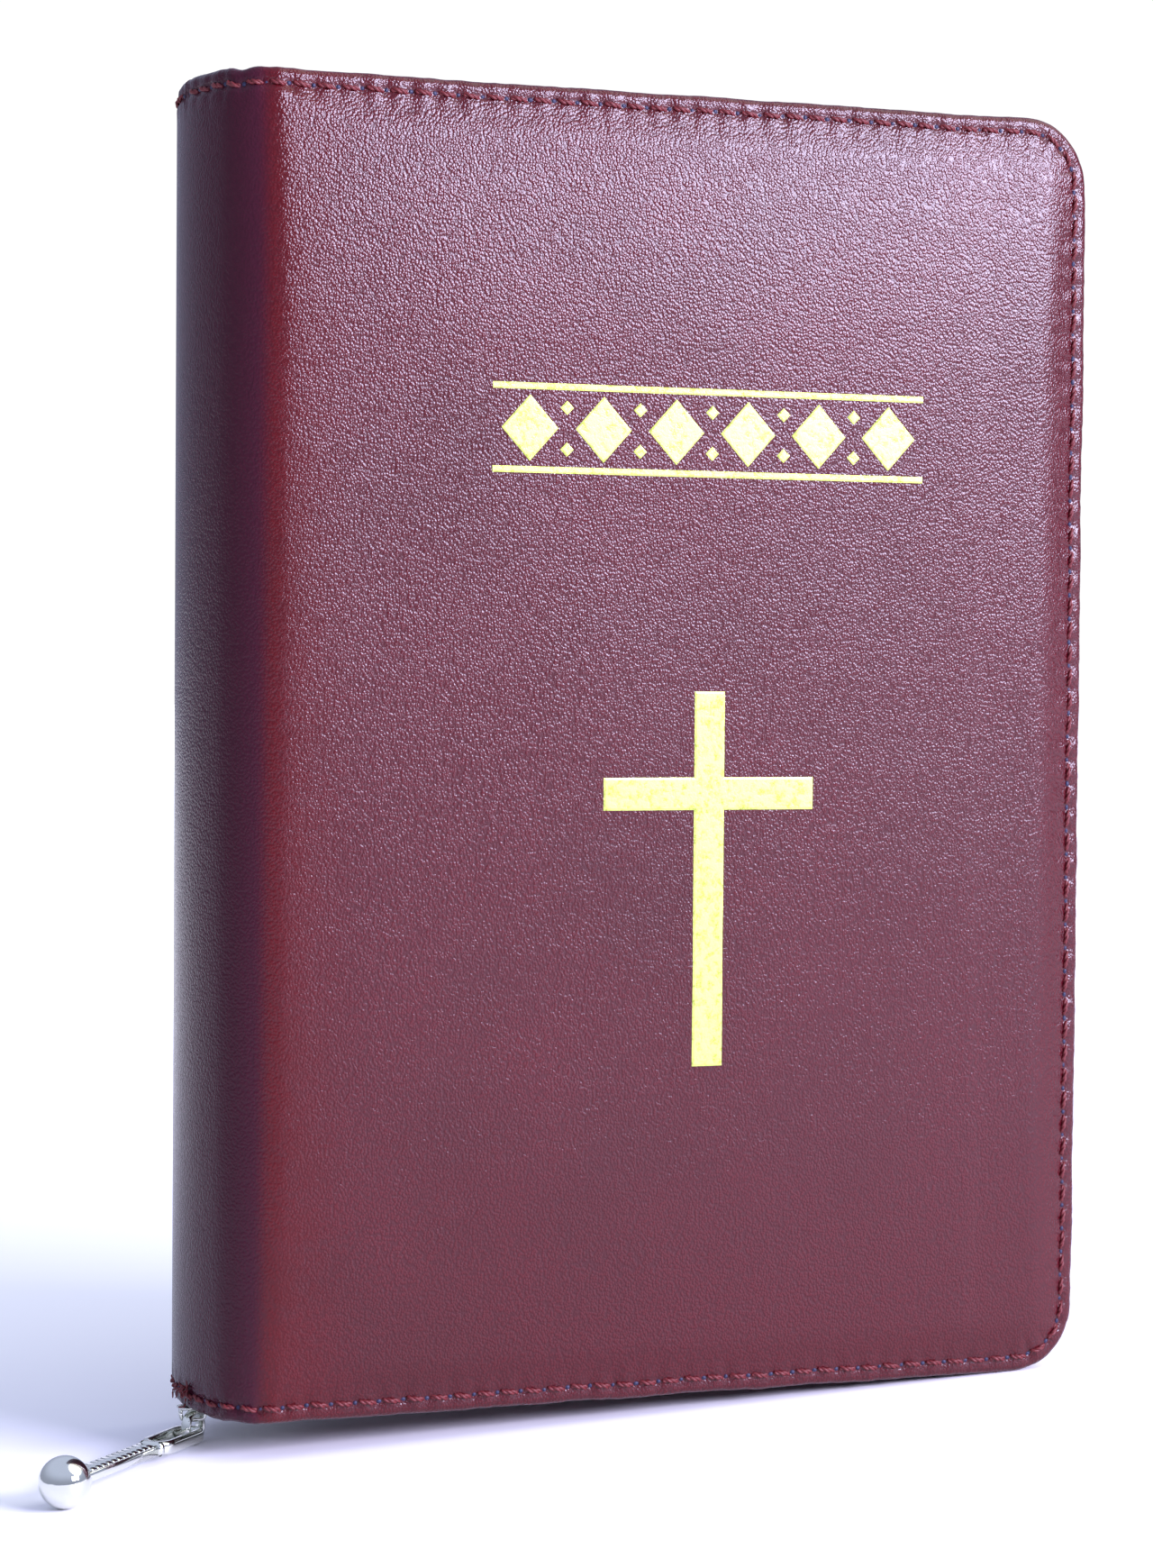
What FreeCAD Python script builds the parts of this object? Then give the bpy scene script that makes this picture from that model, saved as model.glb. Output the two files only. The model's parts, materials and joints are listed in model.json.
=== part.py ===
"""Zip-around leather bible, standing upright on the lower edges of its covers.

Frame, in millimetres: +Z is up the spine, +X runs from the spine to the fore-edge and the
front cover faces -Y.  The origin is midway between the covers, level with their lower edges.
The zip slider hangs below that level at the spine end, so the book leans a little on it.
"""
import FreeCAD
import Part
import math
import os
import re
import Sketcher
from FreeCAD import Matrix, Placement, Rotation, Vector

SIZES = {
    # the closed book
    "cover_height": 185.0,
    "half_width": 66.5,
    "half_thick": 17.0,
    # rounded spine: a wide crown between two tighter folds
    "fold_radius": 9.0,
    "fold_start": -56.0,
    "crown_radius": 31.1,
    # layers of a cover, from the outside in
    "leather": 1.2,
    "padding": 0.8,
    "board": 1.2,
    "lining": 0.5,
    "paper": 0.15,
    "corner_radius": 9.5,
    "edge_roll": 1.0,
    "board_start": -53.0,
    "seam_gap": 0.05,
    # text block
    "block_spine": -60.0,
    "block_fore": 61.0,
    "block_low": 5.0,
    "block_high": 180.0,
    "block_half": 13.0,
    "page_corner": 6.0,
    "half_gap": 0.05,
    "backing": 0.4,
    "headband": 0.8,
    # zip
    "chain_inset": 2.0,
    "tape": 0.5,
    "tape_edge": 2.4,
    "tooth_nose": 0.6,
    "tooth_height": 1.9,
    "tooth_width": 1.2,
    "tooth_pitch": 2.5,
    "zip_start": -49.5,
    "tape_tail": -61.2,
    # slider
    "slider_start": -62.0,
    "slider_length": 10.5,
    "slider_half": 4.5,
    "channel_half": 3.5,
    "channel_height": 2.3,
    "plate": 0.9,
    "slot": 0.9,
    "post": 1.0,
    # ring and pull
    "ring_radius": 2.4,
    "ring_wall": 0.45,
    "ring_width": 1.4,
    "pull_length": 36.7,
    "ball_radius": 3.5,
    # decoration and thread
    "stitch_inset": 2.2,
    "stitch_pitch": 3.5,
    "stitch_length": 2.7,
    "stitch_width": 0.7,
    "stitch_height": 0.23,
    "groove": 0.25,
    "groove_width": 1.0,
    "foil": 0.1,
    "motif_centre": 6.0,
}

doc = FreeCAD.newDocument("Bible")
sheet = doc.addObject("Spreadsheet::Sheet", "Sizes")
for row, (alias, value) in enumerate(SIZES.items(), start=1):
    sheet.set(f"A{row}", alias)
    sheet.set(f"B{row}", str(value))
    sheet.setAlias(f"B{row}", alias)
doc.recompute()

nodes = {}


def size(expression):
    """Value of an expression in the sheet's aliases."""
    return float(sheet.evalExpression(expression))


def bound(expression):
    """The same expression, as an object outside the sheet has to write it."""
    return re.sub(r"[a-z_]+", lambda word: f"Sizes.{word[0]}" if word[0] in SIZES else word[0], expression)


# ---------------------------------------------------------------- sketches and bodies

def new_body(name):
    body = doc.addObject("PartDesign::Body", name)
    body.Label = name
    nodes[name] = body
    return body


def new_sketch(body, name, plane, offset="0"):
    """A sketch on one of the body's own planes, moved along that plane's normal."""
    sketch = body.newObject("Sketcher::SketchObject", f"{body.Name}_{name}")
    origin_plane = next(item for item in body.Origin.OriginFeatures if item.Role == plane)
    sketch.AttachmentSupport = [(origin_plane, "")]
    sketch.MapMode = "FlatFace"
    sketch.setExpression("AttachmentOffset.Base.z", bound(offset))
    return sketch


def constrain(sketch, kind, *where, expression=None):
    if expression is None:
        return sketch.addConstraint(Sketcher.Constraint(kind, *where))
    index = sketch.addConstraint(Sketcher.Constraint(kind, *where, size(expression)))
    sketch.setExpression(f"Constraints[{index}]", bound(expression))
    return index


def panel_outline(sketch, left, right, low, high, corner):
    """A sheet that is square at the spine side and rounded at the two fore-edge corners."""
    base = sketch.GeometryCount
    x0, x1, z0, z1, r = (size(text) for text in (left, right, low, high, corner))
    axis = Vector(0, 0, 1)
    sketch.addGeometry(Part.LineSegment(Vector(x0, z0), Vector(x1 - r, z0)))
    sketch.addGeometry(Part.ArcOfCircle(Part.Circle(Vector(x1 - r, z0 + r), axis, r), -math.pi / 2, 0))
    sketch.addGeometry(Part.LineSegment(Vector(x1, z0 + r), Vector(x1, z1 - r)))
    sketch.addGeometry(Part.ArcOfCircle(Part.Circle(Vector(x1 - r, z1 - r), axis, r), 0, math.pi / 2))
    sketch.addGeometry(Part.LineSegment(Vector(x1 - r, z1), Vector(x0, z1)))
    sketch.addGeometry(Part.LineSegment(Vector(x0, z1), Vector(x0, z0)))
    low_line, low_bend, fore_line, high_bend, high_line, spine_line = range(base, base + 6)
    for first in range(base, base + 4):
        constrain(sketch, "Tangent", first, 2, first + 1, 1)
    constrain(sketch, "Coincident", high_line, 2, spine_line, 1)
    constrain(sketch, "Coincident", spine_line, 2, low_line, 1)
    for line in (low_line, high_line):
        constrain(sketch, "Horizontal", line)
    for line in (fore_line, spine_line):
        constrain(sketch, "Vertical", line)
    constrain(sketch, "Equal", low_bend, high_bend)
    constrain(sketch, "Radius", low_bend, expression=corner)
    constrain(sketch, "DistanceX", -1, 1, spine_line, 1, expression=left)
    constrain(sketch, "DistanceX", -1, 1, fore_line, 1, expression=right)
    constrain(sketch, "DistanceY", -1, 1, low_line, 1, expression=low)
    constrain(sketch, "DistanceY", -1, 1, high_line, 1, expression=high)


def face_sketch(body, name, side, depth, left, right, inset, corner):
    """A panel outline on the plane |Y| = depth; side is -1 at the front and +1 at the back."""
    sketch = new_sketch(body, name, "XZ_Plane", depth if side < 0 else f"-({depth})")
    panel_outline(sketch, left, right, inset, f"cover_height - ({inset})", corner)
    return sketch


def pad(body, sketch, length, reverse=False, name="pad"):
    feature = body.newObject("PartDesign::Pad", f"{body.Name}_{name}")
    feature.Profile = sketch
    feature.setExpression("Length", bound(length))
    feature.Reversed = reverse
    doc.recompute()
    return feature


def pocket(body, sketch, length, reverse=False):
    feature = body.newObject("PartDesign::Pocket", f"{body.Name}_pocket")
    feature.Profile = sketch
    feature.setExpression("Length", bound(length))
    before = body.Shape.Volume
    feature.Reversed = reverse
    doc.recompute()
    if body.Shape.Volume > before - 1.0:
        raise RuntimeError(f"{body.Name}: the pocket cut nothing")
    return feature


def sheet_body(name, side, depth, thickness, left, right, inset, corner):
    """One flat layer of a cover, from |Y| = depth outwards."""
    body = new_body(name)
    sketch = face_sketch(body, "outline", side, depth, left, right, inset, corner)
    pad(body, sketch, thickness, reverse=side > 0)
    return body


# ---------------------------------------------------------------- rounded spine section

def fold_point(angle, radius, side):
    """A point on the fold: angle is 0 where the cover starts and grows towards the crown."""
    x = size("fold_start") - radius * math.sin(angle)
    y = (size("half_thick") - size("fold_radius")) + radius * math.cos(angle)
    return Vector(x, side * y)


CROWN_X = size("crown_radius - half_width")
CROWN_ANGLE = math.atan2(size("half_thick - fold_radius"), CROWN_X - size("fold_start"))
SPLIT_ANGLE = math.radians(45)


def arc_through(first, middle, last):
    return Part.Arc(first, middle, last)


def crown_point(angle, radius):
    return Vector(CROWN_X - radius * math.cos(angle), radius * math.sin(angle))


def band_section(sketch, edges):
    """Closed outline of curves, end to end, held in place by blocked geometry."""
    count = len(edges)
    for edge in edges:
        sketch.addGeometry(edge)
    for index in range(count):
        constrain(sketch, "Block", index)


def fold_section(side, outer, inner, start, end):
    """The section of one layer of a fold, between two angles."""
    middle = (start + end) / 2
    a, b, c = (fold_point(angle, outer, side) for angle in (start, middle, end))
    d, e, f = (fold_point(angle, inner, side) for angle in (end, middle, start))
    return [arc_through(a, b, c), Part.LineSegment(c, d), arc_through(d, e, f), Part.LineSegment(f, a)]


def crown_section(outer, inner, reach):
    """The section of one layer of the crown, up to the angle reach on each side."""
    points = [crown_point(angle, outer) for angle in (-reach, 0, reach)]
    back = [crown_point(angle, inner) for angle in (reach, 0, -reach)]
    return [arc_through(*points), Part.LineSegment(points[2], back[0]),
            arc_through(*back), Part.LineSegment(back[2], points[0])]


# ---------------------------------------------------------------- covers

def cover_leather(name, side):
    """Leather skin of a cover: a tray whose rim is turned in, and its half of the fold."""
    body = new_body(name)
    inner = "half_thick - leather - padding - board - lining"
    outline = face_sketch(body, "outline", side, inner, "fold_start", "half_width", "0", "corner_radius")
    pad(body, outline, f"half_thick - ({inner})", reverse=side > 0)
    hollow = face_sketch(body, "hollow", side, inner, "fold_start - leather", "half_width - leather",
                         "leather", "corner_radius - leather")
    pocket(body, hollow, "padding + board + lining", reverse=side < 0)
    fold = new_sketch(body, "fold", "XY_Plane")
    seam = size("seam_gap / fold_radius")
    radius = size("fold_radius")
    band_section(fold, fold_section(side, radius, radius - size("leather"), 0, SPLIT_ANGLE - seam))
    pad(body, fold, "cover_height", name="fold_pad")
    tip = body.Tip
    roll = body.newObject("PartDesign::Fillet", f"{name}_roll")
    outer_y = side * size("half_thick")
    edges = []
    for index, edge in enumerate(tip.Shape.Edges, start=1):
        box = edge.BoundBox
        on_face = abs(box.YMin - outer_y) < 1e-4 and abs(box.YMax - outer_y) < 1e-4
        seam_edge = box.XLength < 1e-4 and box.XMax < 0
        if on_face and not seam_edge:
            edges.append(f"Edge{index}")
    roll.Base = (tip, edges)
    roll.setExpression("Radius", bound("edge_roll"))
    doc.recompute()
    # sewing channel: the strip between two outlines whose spine sides run clear of the leather
    channel = new_sketch(body, "channel", "XZ_Plane", "half_thick - groove" if side < 0 else "groove - half_thick")
    for clear, inset in (("fold_start - 5", "stitch_inset - groove_width / 2"),
                         ("fold_start - 4", "stitch_inset + groove_width / 2")):
        panel_outline(channel, clear, f"half_width - ({inset})", inset, f"cover_height - ({inset})",
                      f"corner_radius - ({inset})")
    pocket(body, channel, "groove", reverse=side < 0)
    return body


def make_cover(side, word):
    cover_leather(f"{word}_leather", side)
    depth = "half_thick - leather"
    for layer in ("padding", "board", "lining"):
        depth = f"{depth} - {layer}"
        start = "fold_start" if layer == "lining" else "board_start"
        sheet_body(f"{word}_{layer}", side, depth, layer, start, "half_width - leather - 0.1",
                   "leather + 0.1", "corner_radius - leather")
    sheet_body(f"{word}_pastedown", side, f"{depth} - paper", "paper", "fold_start + 2", "block_fore",
               "block_low", "page_corner")


make_cover(-1, "front")
make_cover(1, "back")


def make_spine():
    """Spine leather with its halves of both folds, a stiffener and a lining behind the crown."""
    leather = new_body("spine_leather")
    outer, inner = size("crown_radius"), size("crown_radius - leather")
    crown = new_sketch(leather, "crown", "XY_Plane")
    band_section(crown, crown_section(outer, inner, CROWN_ANGLE))
    pad(leather, crown, "cover_height")
    fold_outer, fold_inner = size("fold_radius"), size("fold_radius - leather")
    fold_end = math.pi / 2 - CROWN_ANGLE
    seam = size("seam_gap / fold_radius")
    for side, word in ((-1, "front"), (1, "back")):
        fold = new_sketch(leather, f"{word}_fold", "XY_Plane")
        band_section(fold, fold_section(side, fold_outer, fold_inner, SPLIT_ANGLE + seam, fold_end))
        pad(leather, fold, "cover_height", name=f"{word}_fold_pad")
    reach = math.asin(9.0 / outer)
    depth = inner
    for name, thickness in (("spine_stiffener", "board"), ("spine_lining", "lining")):
        body = new_body(name)
        section = new_sketch(body, "section", "XY_Plane", "leather + 0.1")
        band_section(section, crown_section(depth, depth - size(thickness), reach))
        pad(body, section, "cover_height - 2 * (leather + 0.1)")
        depth -= size(thickness)


make_spine()


# ---------------------------------------------------------------- text block

def make_pages(side, word):
    """Half of the text block, its glued backing and its two headbands."""
    body = new_body(f"{word}_pages")
    sketch = new_sketch(body, "outline", "XZ_Plane", "half_gap" if side < 0 else "-half_gap")
    panel_outline(sketch, "block_spine", "block_fore", "block_low", "block_high", "page_corner")
    pad(body, sketch, "block_half - half_gap", reverse=side > 0)
    near = size("half_gap") if side > 0 else -size("block_half")
    backing = doc.addObject("Part::Box", f"{word}_block_backing")
    backing.setExpression("Length", bound("backing"))
    backing.setExpression("Width", bound("block_half - half_gap"))
    backing.setExpression("Height", bound("block_high - block_low - headband"))
    backing.setExpression("Placement.Base.x", bound("block_spine - backing"))
    backing.Placement.Base.y = near
    backing.setExpression("Placement.Base.z", bound("block_low + headband / 2"))
    nodes[backing.Name] = backing
    bands = []
    for place, height in (("low", "block_low - headband / 2"), ("high", "block_high + headband / 2")):
        band = doc.addObject("Part::Cylinder", f"{word}_headband_{place}")
        band.setExpression("Radius", bound("headband / 2"))
        band.setExpression("Height", bound("block_half - half_gap"))
        band.Placement = Placement(Vector(0, near, 0), Rotation(Vector(1, 0, 0), -90))
        band.setExpression("Placement.Base.x", bound("block_spine"))
        band.setExpression("Placement.Base.z", bound(height))
        bands.append(band)
    group = doc.addObject("Part::Compound", f"{word}_headbands")
    group.Links = bands
    nodes[group.Name] = group


make_pages(-1, "front")
make_pages(1, "back")


# ---------------------------------------------------------------- path round the three open edges

def edge_path(inset, start):
    """Length of the path round the open edges, and a function from length to place and heading.

    It runs along the lower edge, up the fore-edge and back along the top edge.
    """
    right, high = size("half_width") - inset, size("cover_height") - inset
    radius = size("corner_radius") - inset
    run = right - radius - start
    rise = high - inset - 2 * radius
    quarter = math.pi * radius / 2
    total = 2 * run + rise + 2 * quarter

    def place(length):
        if length <= run:
            return Vector(start + length, 0, inset), 0.0
        length -= run
        if length <= quarter:
            angle = length / radius
            return Vector(right - radius + radius * math.sin(angle), 0,
                          inset + radius - radius * math.cos(angle)), angle
        length -= quarter
        if length <= rise:
            return Vector(right, 0, inset + radius + length), math.pi / 2
        length -= rise
        if length <= quarter:
            angle = length / radius
            return Vector(right - radius + radius * math.cos(angle), 0,
                          high - radius + radius * math.sin(angle)), math.pi / 2 + angle
        length -= quarter
        return Vector(right - radius - length, 0, high), math.pi

    return total, place


def block_at(centre, heading, length, width, height):
    """A box centred on a point: length along the path, width along Y, height across the path."""
    box = Part.makeBox(length, width, height, Vector(-length / 2, -width / 2, -height / 2))
    box.Placement = Placement(centre, Rotation(Vector(0, 1, 0), -math.degrees(heading)))
    return box


def add_solids(name, solids):
    feature = doc.addObject("Part::Feature", name)
    feature.Shape = Part.makeCompound(solids)
    nodes[name] = feature
    return feature


# ---------------------------------------------------------------- zip tapes, teeth and stops

INNER_FACE = "half_thick - leather - padding - board - lining"


def make_tape(side, word):
    """Woven tape: a ribbon that stands on the cover's lining and follows the open edges."""
    body = new_body(f"zip_tape_{word}")
    start = "tape_tail" if side < 0 else "zip_start"
    outer = new_sketch(body, "outer", "XZ_Plane", "tape_edge" if side < 0 else "-tape_edge")
    inset = "chain_inset - tape / 2"
    panel_outline(outer, "zip_start", f"half_width - ({inset})", inset, f"cover_height - ({inset})",
                  f"corner_radius - ({inset})")
    pad(body, outer, f"{INNER_FACE} - tape_edge", reverse=side > 0)
    hollow = new_sketch(body, "hollow", "XZ_Plane", "tape_edge" if side < 0 else "-tape_edge")
    inset = "chain_inset + tape / 2"
    panel_outline(hollow, "zip_start - 1", f"half_width - ({inset})", inset, f"cover_height - ({inset})",
                  f"corner_radius - ({inset})")
    pocket(body, hollow, f"{INNER_FACE} - tape_edge", reverse=side < 0)
    if side < 0:
        tail = new_sketch(body, "tail", "XZ_Plane", "tape_edge")
        rectangle(tail, start, "zip_start", "chain_inset - tape / 2", "chain_inset + tape / 2")
        pad(body, tail, f"{INNER_FACE} - tape_edge", name="tail_pad")


def rectangle(sketch, left, right, low, high):
    x0, x1, z0, z1 = (size(text) for text in (left, right, low, high))
    corners = [Vector(x0, z0), Vector(x1, z0), Vector(x1, z1), Vector(x0, z1)]
    for index in range(4):
        sketch.addGeometry(Part.LineSegment(corners[index], corners[(index + 1) % 4]))
    for index in range(4):
        constrain(sketch, "Coincident", index, 2, (index + 1) % 4, 1)
        constrain(sketch, "Vertical" if index % 2 else "Horizontal", index)
    constrain(sketch, "DistanceX", -1, 1, 3, 2, expression=left)
    constrain(sketch, "DistanceX", -1, 1, 1, 1, expression=right)
    constrain(sketch, "DistanceY", -1, 1, 0, 1, expression=low)
    constrain(sketch, "DistanceY", -1, 1, 2, 1, expression=high)


def make_teeth(side, word):
    """One row of teeth, half a pitch out of step with the other row, and the stop at its far end."""
    total, place = edge_path(size("chain_inset"), size("zip_start"))
    pitch = size("tooth_pitch")
    width = size("tape_edge - tooth_nose")
    middle = side * size("tape_edge + tooth_nose") / 2
    first = 0.8 + (pitch / 2 if side > 0 else 0)
    count = int((total - 3.2 - first) / pitch) + 1
    teeth = []
    for index in range(count):
        centre, heading = place(first + index * pitch)
        centre.y = middle
        teeth.append(block_at(centre, heading, size("tooth_width"), width, size("tooth_height")))
    add_solids(f"zip_teeth_{word}", teeth)
    centre, heading = place(total - 0.9)
    centre.y = middle
    add_solids(f"zip_stop_{word}", [block_at(centre, heading, 1.8, width, size("tooth_height"))])


for side_sign, side_word in ((-1, "front"), (1, "back")):
    make_tape(side_sign, side_word)
    make_teeth(side_sign, side_word)


# ---------------------------------------------------------------- stitching

def stitch(centre, along, outward):
    """One stitch: a bar of thread laid along the seam; centre is the middle of its underside."""
    length, width = size("stitch_length"), size("stitch_width")
    bar = Part.makeBox(length, width, size("stitch_height"), Vector(-length / 2, -width / 2, 0))
    across = outward.cross(along)
    turn = Matrix(along.x, across.x, outward.x, centre.x,
                  along.y, across.y, outward.y, centre.y,
                  along.z, across.z, outward.z, centre.z)
    return bar.transformGeometry(turn)


def make_cover_stitching(side, word):
    total, place = edge_path(size("stitch_inset"), size("fold_start"))
    count = round(total / size("stitch_pitch"))
    pitch = total / count
    solids = []
    for index in range(count):
        centre, heading = place((index + 0.5) * pitch)
        centre.y = side * size("half_thick - groove")
        along = Vector(math.cos(heading), 0, math.sin(heading))
        solids.append(stitch(centre, along, Vector(0, side, 0)))
    add_solids(f"{word}_stitching", solids)


def make_spine_stitching():
    """Two rows across the crown, one near each end of the spine, bedded slightly in the leather."""
    radius = size("crown_radius")
    step = size("stitch_pitch") / radius
    solids = []
    for height in (size("stitch_inset"), size("cover_height - stitch_inset")):
        for index in range(-3, 4):
            angle = index * step
            centre = crown_point(angle, radius - 0.12)
            centre.z = height
            outward = Vector(-math.cos(angle), math.sin(angle), 0)
            along = Vector(math.sin(angle), math.cos(angle), 0)
            solids.append(stitch(centre, along, outward))
    add_solids("spine_stitching", solids)


make_cover_stitching(-1, "front")
make_cover_stitching(1, "back")
make_spine_stitching()


# ---------------------------------------------------------------- gold foil on the front cover

def foil_piece(points):
    """A polygon of foil, given as offsets from the motif's centre line and heights."""
    wire = Part.makePolygon([Vector(size("motif_centre") + x, -size("half_thick"), z)
                             for x, z in points + points[:1]])
    return Part.Face(wire).extrude(Vector(0, -size("foil"), 0))


def bar_points(x0, x1, z0, z1):
    return [(x0, z0), (x1, z0), (x1, z1), (x0, z1)]


def make_cross():
    """Latin cross: an upright and an arm of the same width."""
    half, low, high, arm_low, arm_high, reach = 2.3, 47.4, 100.7, 83.9, 88.5, 16.1
    outline = [(-half, low), (half, low), (half, arm_low), (reach, arm_low), (reach, arm_high),
               (half, arm_high), (half, high), (-half, high), (-half, arm_high), (-reach, arm_high),
               (-reach, arm_low), (-half, arm_low)]
    add_solids("foil_cross", [foil_piece(outline)])


def make_ornament():
    """A band of six lozenges and five small diamonds between two rules."""
    reach, low, high, rule = 33.0, 131.0, 143.5, 0.9
    middle = (low + high) / 2
    pieces = [foil_piece(bar_points(-reach, reach, low, low + rule)),
              foil_piece(bar_points(-reach, reach, high - rule, high))]
    pitch = 2 * reach / 6
    for index in range(6):
        x = -reach + (index + 0.5) * pitch
        pieces.append(foil_piece([(x - 4.2, middle), (x, middle - 4.6), (x + 4.2, middle), (x, middle + 4.6)]))
    for index in range(1, 6):
        x = -reach + index * pitch
        pieces.append(foil_piece([(x - 1.0, middle + 2.9), (x, middle + 1.9), (x + 1.0, middle + 2.9),
                                  (x, middle + 3.9)]))
        pieces.append(foil_piece([(x - 1.0, middle - 2.9), (x, middle - 3.9), (x + 1.0, middle - 2.9),
                                  (x, middle - 1.9)]))
    add_solids("foil_ornament", pieces)


make_cross()
make_ornament()


# ---------------------------------------------------------------- slider, ring and pull

def make_slider():
    """Slider casting: two plates joined by a post, with flanges that leave a slot for each tape."""
    x, length = size("slider_start"), size("slider_length")
    half, channel = size("slider_half"), size("channel_half")
    low = size("chain_inset - channel_height / 2 - plate")
    high = size("chain_inset + channel_height / 2")
    plate, slot = size("plate"), size("slot")
    lip = (size("channel_height") - slot) / 2
    outer_plate = Part.makeBox(length, 2 * half, plate, Vector(x, -half, low))
    inner_plate = Part.makeBox(length, 2 * half, plate, Vector(x, -half, high))
    solid = outer_plate
    post = Part.makeBox(3.0, size("post"), size("channel_height"), Vector(x, -size("post") / 2, low + plate))
    solid = solid.fuse([inner_plate, post])
    for y in (-half, channel):
        solid = solid.fuse(Part.makeBox(length, half - channel, lip, Vector(x, y, low + plate)))
        solid = solid.fuse(Part.makeBox(length, half - channel, lip, Vector(x, y, high - lip)))
    solid = solid.removeSplitter()
    corners = [edge for edge in solid.Edges
               if edge.BoundBox.ZLength > plate - 0.01 and edge.BoundBox.XLength < 0.01
               and abs(abs(edge.BoundBox.YMin) - half) < 0.01 and edge.BoundBox.YLength < 0.01]
    solid = solid.makeFillet(0.8, [edge for edge in corners if edge.BoundBox.ZLength < plate + lip + 0.01])
    add_solids("slider_body", solid.Solids)
    return low


RING_X = -64.4
STRAP_Z = -2.1
PULL_HEADING = Vector(-0.667, -0.745, 0).normalize()
PULL_ASIDE = Vector(-PULL_HEADING.y, PULL_HEADING.x, 0)


def make_bail(plate_low):
    """A small closed loop under the slider's nose that holds the ring."""
    half = 0.3
    nose_x = RING_X - 2.1
    nose = Part.makeBox(-58.1 - nose_x, 2.4, 0.5, Vector(nose_x, -1.2, plate_low - 0.5))
    strap = Part.makeBox(4.2, 2 * half, 0.6, Vector(nose_x, -half, STRAP_Z - 0.3))
    legs = [Part.makeBox(0.6, 2 * half, plate_low - 0.5 - STRAP_Z, Vector(leg_x, -half, STRAP_Z))
            for leg_x in (nose_x, nose_x + 3.6)]
    loop = nose.fuse([strap] + legs).removeSplitter()
    add_solids("slider_bail", loop.Solids)


def make_ring():
    """A ring of flat strip through the bail; its axis is level and lies across the pull."""
    outer, wall, width = size("ring_radius"), size("ring_wall"), size("ring_width")
    centre = Vector(RING_X, 0, STRAP_Z - 1.1)
    start = centre - PULL_ASIDE * (width / 2)
    ring = Part.makeCylinder(outer, width, start, PULL_ASIDE)
    ring = ring.cut(Part.makeCylinder(outer - wall, width, start, PULL_ASIDE))
    ring = ring.makeFillet(0.15, [edge for edge in ring.Edges if edge.Length > 1.9 * math.pi * outer])
    add_solids("pull_ring", [ring])
    return centre


def make_pull(ring_centre):
    """Pull casting: an eye, a collar, a flat bar with slanting grooves and a ball.

    It is drawn with its eye's end at the local origin, along local +X, and its mid-plane level.
    """
    wall_half, tall = 0.5, 1.8
    eye_length, eye_half = 13.0, 2.35
    ends = (eye_half, eye_length - eye_half)

    def oval(half):
        block = Part.makeBox(ends[1] - ends[0], 2 * half, tall, Vector(eye_half, -half, -tall / 2))
        return block.fuse([Part.makeCylinder(half, tall, Vector(x, 0, -tall / 2)) for x in ends])

    ball_x = size("pull_length") + wall_half
    collar = Part.makeBox(1.4, 3.8, 2.0, Vector(eye_length - 0.8, -1.9, -1.0))
    bar = Part.makeBox(ball_x - eye_length - 2.0, 2.9, 1.7, Vector(eye_length + 0.4, -1.45, -0.85))
    ball = Part.makeSphere(size("ball_radius"), Vector(ball_x, 0, 0))
    pull = oval(eye_half).cut(oval(eye_half - 2 * wall_half)).fuse([collar, bar, ball]).removeSplitter()
    grooves = []
    for index in range(12):
        groove = Part.makeBox(0.3, 6.0, 0.3, Vector(-0.15, -3.0, 0.7))
        groove.Placement = Placement(Vector(eye_length + 1.9 + 1.45 * index, 0, 0),
                                     Rotation(Vector(0, 0, 1), -25))
        grooves.append(groove)
    pull = pull.cut(Part.makeCompound(grooves))
    turn = Rotation(Vector(0, 0, 1), math.degrees(math.atan2(PULL_HEADING.y, PULL_HEADING.x)))
    climb = Rotation(PULL_ASIDE, -1.1)
    crossing = Vector(ring_centre.x, ring_centre.y, ring_centre.z - 0.7)
    pull.Placement = Placement(crossing - PULL_HEADING * wall_half, climb.multiply(turn))
    add_solids("pull_tab", pull.Solids)


make_bail(make_slider())
make_pull(make_ring())


# ---------------------------------------------------------------- checks and files

doc.recompute()
for item in doc.Objects:
    if "Invalid" in item.State or "Error" in item.State:
        raise RuntimeError(f"{item.Name} failed: {item.State}")
os.makedirs("parts", exist_ok=True)
for name, item in nodes.items():
    shape = item.Shape
    if shape.isNull() or not shape.isValid():
        raise RuntimeError(f"{name}: bad shape")
    shape.exportStep(f"parts/{name}.step")
    box = shape.BoundBox
    print(f"{name:20s} solids {len(shape.Solids):4d} volume {shape.Volume:10.1f}"
          f"  x {box.XMin:7.2f} {box.XMax:7.2f}  y {box.YMin:7.2f} {box.YMax:7.2f}"
          f"  z {box.ZMin:7.2f} {box.ZMax:7.2f}")
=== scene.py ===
"""Looks of the zip-around bible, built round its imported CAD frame.

Everything is drawn in millimetres in the row frame and turned into metres as it is made.
"""
import json
import math
import random

import bmesh
import bpy
from mathutils import Matrix, Vector, noise


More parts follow.
